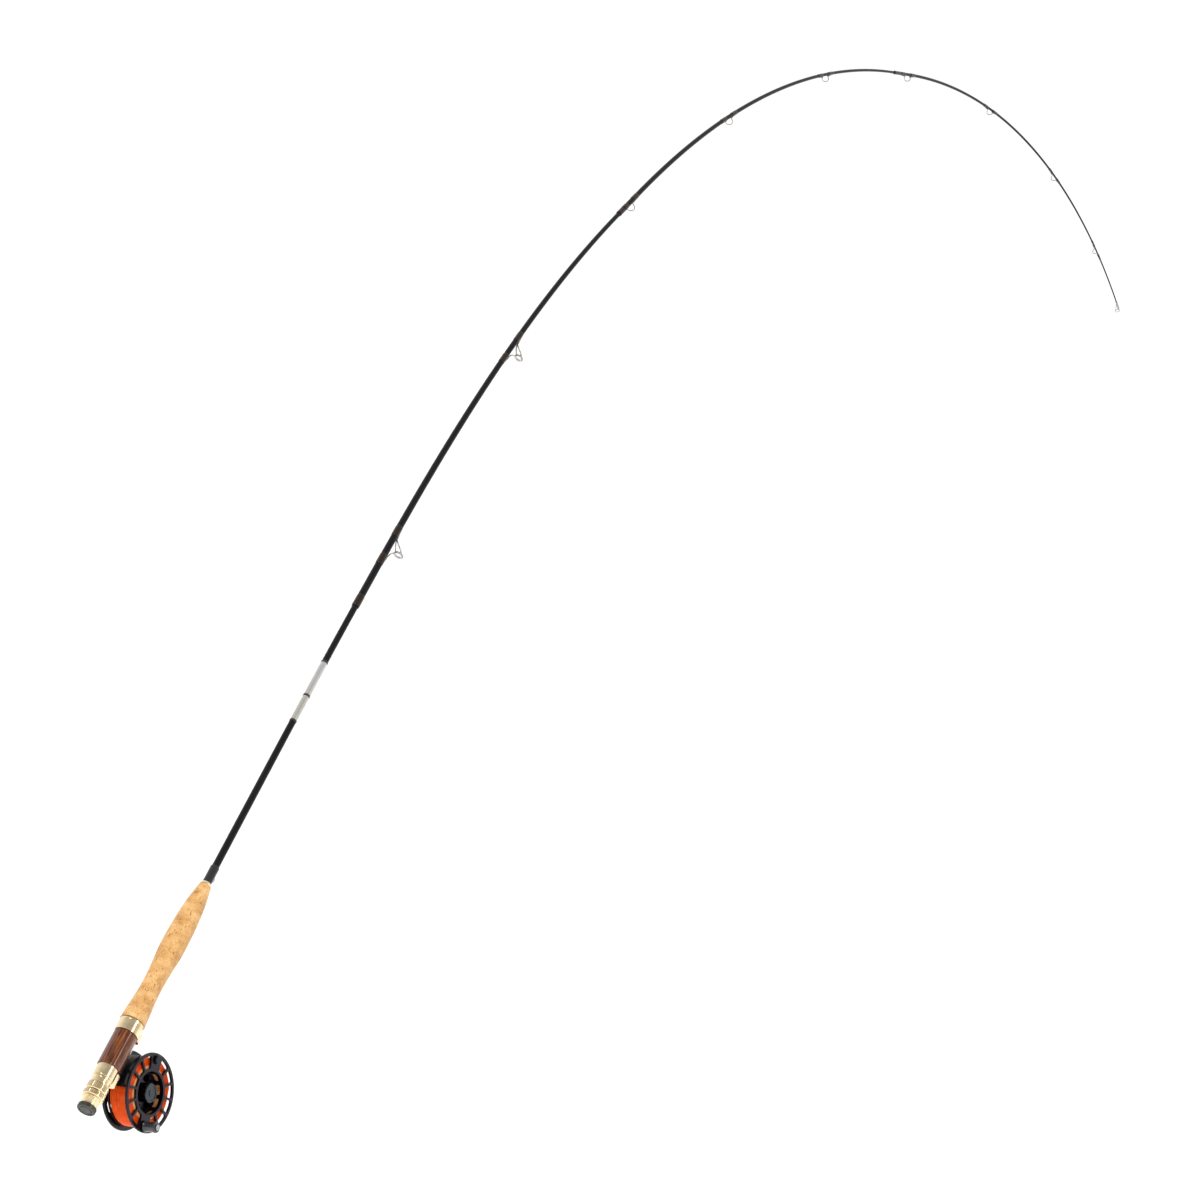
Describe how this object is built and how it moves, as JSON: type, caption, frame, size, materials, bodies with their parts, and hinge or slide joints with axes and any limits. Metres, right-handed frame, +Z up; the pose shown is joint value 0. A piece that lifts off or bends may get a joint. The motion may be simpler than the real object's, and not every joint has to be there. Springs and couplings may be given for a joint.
{
  "type": "fly fishing rod with reel",
  "caption": "Fly rod in sections joined by ferrules, bent as under load, with a cork grip, a screw-locked reel seat and a ported fly reel with winding knob, drag knob and wound line.",
  "frame": {"origin": "centre of the butt cap's end face", "axes": "+X is the casting direction, +Z is up, the rod bends in the XZ plane; the reel's spindle lies along Y with its winding knob on the -Y side"},
  "size_m": [2.2868, 0.0566, 1.1028],
  "materials": {
    "pewter": "dark satin nickel",
    "gold_metal": "polished gold anodised",
    "foam_arbor": "rigid foam",
    "rosewood": "high gloss varnish",
    "cork": "fine sanded cork",
    "carbon_blank": "clear coated carbon fibre",
    "guide_metal": "polished wire",
    "black_thread": "thread under clear finish",
    "brown_thread": "thread under clear finish",
    "champagne_band": "metallic lacquer",
    "dark_trim": "thread under clear finish",
    "foot_metal": "satin",
    "steel": "machined",
    "black_anodised": "satin black anodised",
    "spool_anodised": "satin black anodised",
    "cap_anodised": "satin slate anodised",
    "knob_slate": "polished slate",
    "carbon_washer": "woven carbon",
    "brass": "machined",
    "backing": "braided",
    "orange_line": "smooth coated line",
    "seal_rubber": "matte",
    "ring_ceramic": "polished"
  },
  "bodies": {
    "handle": {"butt_cap": "pewter", "seat_barrel": "gold_metal", "seat_arbor": "foam_arbor", "wood_spacer": "rosewood", "fixed_hood": "gold_metal", "cork_grip": "cork", "winding_check": "gold_metal", "blank_butt": "carbon_blank", "hook_keeper": "guide_metal", "keeper_wrap": "black_thread", "label_band": "champagne_band", "band_trims": "dark_trim", "reel_foot": "foot_metal", "foot_screws": "steel", "reel_frame": "black_anodised", "spindle": "steel", "push_pins": "steel", "disc_springs": "steel", "pressure_plate": "steel", "drag_washer": "carbon_washer", "clutch_drum": "steel", "one_way_bearing": "steel", "clutch_rollers": "steel", "click_pawl": "steel", "pawl_pin": "steel", "retaining_clip": "steel"},
    "sliding_hood": {"sliding_hood": "gold_metal"},
    "lock_nut": {"lock_nut": "gold_metal"},
    "lock_ring": {"lock_ring": "gold_metal"},
    "drag_knob": {"drag_knob": "black_anodised"},
    "spool": {"spool": "spool_anodised", "front_bearing": "steel", "rear_bearing": "steel", "clutch_hub": "steel", "click_gear": "brass", "backing_line": "backing", "fly_line": "orange_line", "handle_post": "steel", "counterweight": "spool_anodised"},
    "handle_knob": {"handle_knob": "knob_slate"},
    "cap_seal": {"cap_seal": "seal_rubber"},
    "spool_cap": {"spool_cap": "cap_anodised"},
    "second_section": {"blank_second": "carbon_blank", "wraps_second": "brown_thread", "stripping_guide_1": "guide_metal", "stripping_guide_2": "guide_metal", "guide_insert_1": "ring_ceramic", "guide_insert_2": "ring_ceramic"},
    "third_section": {"blank_third": "carbon_blank", "wraps_third": "brown_thread", "snake_guides_third": "guide_metal"},
    "tip_section": {"blank_tip": "carbon_blank", "wraps_tip": "brown_thread", "snake_guides_tip": "guide_metal", "tip_top": "guide_metal"}
  },
  "joints": [
    {"name": "lock_nut_spin", "type": "hinge", "parent": "sliding_hood", "child": "lock_nut", "pos_m": [0.0211, 0, 0.02132], "axis": [-0.7034, 0, -0.7108], "range_deg": [0, 2160]},
    {"name": "hood_slide", "type": "slide", "parent": "handle", "child": "sliding_hood", "axis": [-0.7034, 0, -0.7108], "range_m": [0, 0.009]},
    {"name": "lock_ring_spin", "type": "hinge", "parent": "sliding_hood", "child": "lock_ring", "pos_m": [0.01196, 0, 0.01208], "axis": [-0.7034, 0, -0.7108], "range_deg": [0, 2160]},
    {"name": "spool_spin", "type": "hinge", "parent": "handle", "child": "spool", "pos_m": [0.0863, 0, 0.00773], "axis": [0, 1, 0], "continuous": true},
    {"name": "handle_knob_spin", "type": "hinge", "parent": "spool", "child": "handle_knob", "pos_m": [0.07598, 0, -0.02403], "axis": [0, 1, 0], "continuous": true},
    {"name": "drag_knob_turn", "type": "hinge", "parent": "handle", "child": "drag_knob", "pos_m": [0.0863, 0, 0.00773], "axis": [0, 1, 0], "range_deg": [0, 300]},
    {"name": "spool_cap_spin", "type": "hinge", "parent": "cap_seal", "child": "spool_cap", "pos_m": [0.0863, 0, 0.00773], "axis": [0, -1, 0], "range_deg": [0, 1440]},
    {"name": "cap_seal_slide", "type": "slide", "parent": "spool", "child": "cap_seal", "axis": [0, -1, 0], "range_m": [0, 0.005]},
    {"name": "second_ferrule_slide", "type": "slide", "parent": "handle", "child": "second_section", "axis": [0.7194, 0, 0.6946], "range_m": [0, 0.08]},
    {"name": "third_ferrule_slide", "type": "slide", "parent": "second_section", "child": "third_section", "axis": [0.8756, 0, 0.4831], "range_m": [0, 0.07]},
    {"name": "tip_ferrule_slide", "type": "slide", "parent": "third_section", "child": "tip_section", "axis": [0.9992, 0, -0.0393], "range_m": [0, 0.06]}
  ],
  "couplings": [
    {"joint": "hood_slide", "follows": "lock_nut_spin", "m_per_rad": 0.00023873},
    {"joint": "lock_ring_spin", "follows": "lock_nut_spin", "ratio": 1},
    {"joint": "cap_seal_slide", "follows": "spool_cap_spin", "m_per_rad": 0.00019894}
  ]
}
